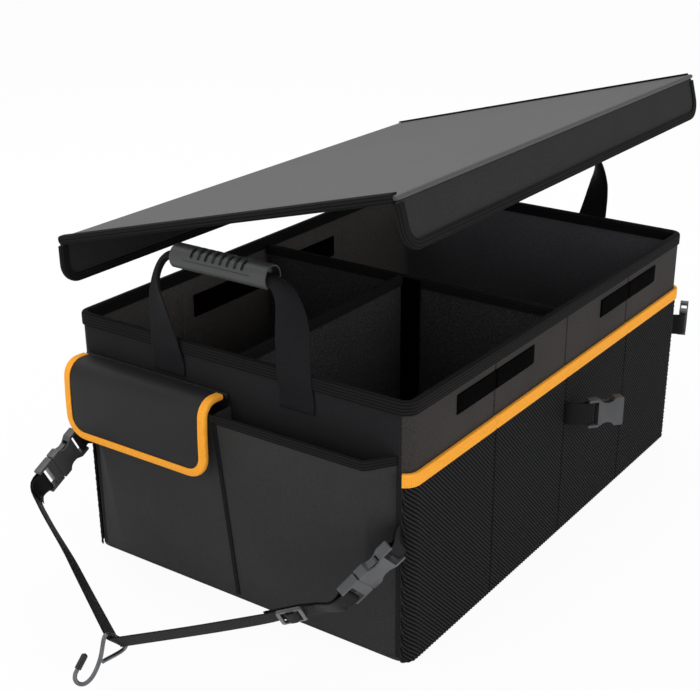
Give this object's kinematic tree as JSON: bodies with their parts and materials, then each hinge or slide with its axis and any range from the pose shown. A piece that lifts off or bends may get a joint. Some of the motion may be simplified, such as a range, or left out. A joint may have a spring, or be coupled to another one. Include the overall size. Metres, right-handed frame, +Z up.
{
  "type": "car trunk organizer",
  "caption": "Stiffened fabric trunk box with dividers, mesh sides, end pockets, grip handles, buckle tabs, a hook strap and a lifted lid.",
  "frame": {"origin": "centre of the box's footprint, on the underside of the base", "axes": "+X along the long sides, towards the end without pockets; +Y across the box, towards the lid's fold; +Z up"},
  "size_m": [0.8749, 0.4636, 0.457],
  "materials": {
    "fabric": "woven polyester over a stiffening board",
    "end_fabric": "fine woven polyester",
    "lid_fabric": "woven polyester",
    "tape": "ribbed binding tape",
    "mesh": "ribbed knitted mesh",
    "orange": "bright elastic band",
    "loop": "hook-and-loop pile",
    "webbing": "woven polypropylene webbing",
    "plastic": "moulded acetal, satin",
    "lining": "woven polyester over board",
    "wire": "dark plated steel wire",
    "sleeve": "dipped vinyl"
  },
  "bodies": {
    "organizer": {"floor_panel": "fabric", "front_wall": "fabric", "rear_wall": "fabric", "left_end_wall": "end_fabric", "right_end_wall": "end_fabric", "rim_tape": "tape", "front_mesh_layer": "mesh", "rear_mesh_layer": "mesh", "front_band": "orange", "rear_band": "orange", "front_left_strip": "loop", "front_right_strip": "loop", "rear_left_strip": "loop", "rear_right_strip": "loop", "front_inner_strip": "loop", "rear_inner_strip": "loop", "base_board": "lining", "left_pull_tab": "webbing", "right_pull_tab": "webbing", "main_divider": "lining", "main_divider_tape": "tape", "short_divider": "lining", "short_divider_tape": "tape", "short_divider_inner_tab": "loop", "short_divider_outer_tab": "loop", "left_handle_webbing": "webbing", "left_handle_grip": "plastic", "right_handle_webbing": "webbing", "right_handle_grip": "plastic", "end_pocket_body": "end_fabric", "open_pocket_tape": "tape", "pocket_line_tape": "tape", "flap_hem": "end_fabric", "front_belt_female_buckle": "plastic", "front_belt_tab": "webbing", "front_left_female_buckle": "plastic", "front_left_tab": "webbing", "rear_left_female_buckle": "plastic", "rear_left_tab": "webbing", "front_right_female_buckle": "plastic", "front_right_tab": "webbing", "rear_right_female_buckle": "plastic", "rear_right_tab": "webbing", "front_left_male_buckle": "plastic", "rear_left_male_buckle": "plastic", "hook_strap": "webbing", "strap_adjuster": "plastic"},
    "lid_back": {"rear_skirt": "lid_fabric", "rear_skirt_tape": "tape"},
    "lid": {"lid_panel": "lid_fabric", "lid_left_tape": "tape", "lid_right_tape": "tape", "front_skirt": "lid_fabric", "front_skirt_tape": "tape", "front_skirt_left_strip": "loop", "front_skirt_right_strip": "loop"},
    "flap": {"pocket_flap": "end_fabric", "pocket_flap_trim": "orange"},
    "hook": {"wire_hook": "wire", "hook_sleeve": "sleeve"}
  },
  "joints": [
    {"name": "lid_lift", "type": "slide", "parent": "organizer", "child": "lid_back", "axis": [0, 0, 1], "range_m": [0, 0.15]},
    {"name": "lid_hinge", "type": "hinge", "parent": "lid_back", "child": "lid", "pos_m": [0, 0.2075, 0.3448], "axis": [-1, 0, 0], "range_deg": [0, 90]},
    {"name": "pocket_flap_hinge", "type": "hinge", "parent": "organizer", "child": "flap", "pos_m": [-0.308, 0.097, 0.227], "axis": [0, 1, 0], "range_deg": [0, 85]},
    {"name": "hook_swing", "type": "hinge", "parent": "organizer", "child": "hook", "pos_m": [-0.473, 0.001, 0.05], "axis": [0.7071, 0, -0.7071], "range_deg": [-50, 60]}
  ]
}
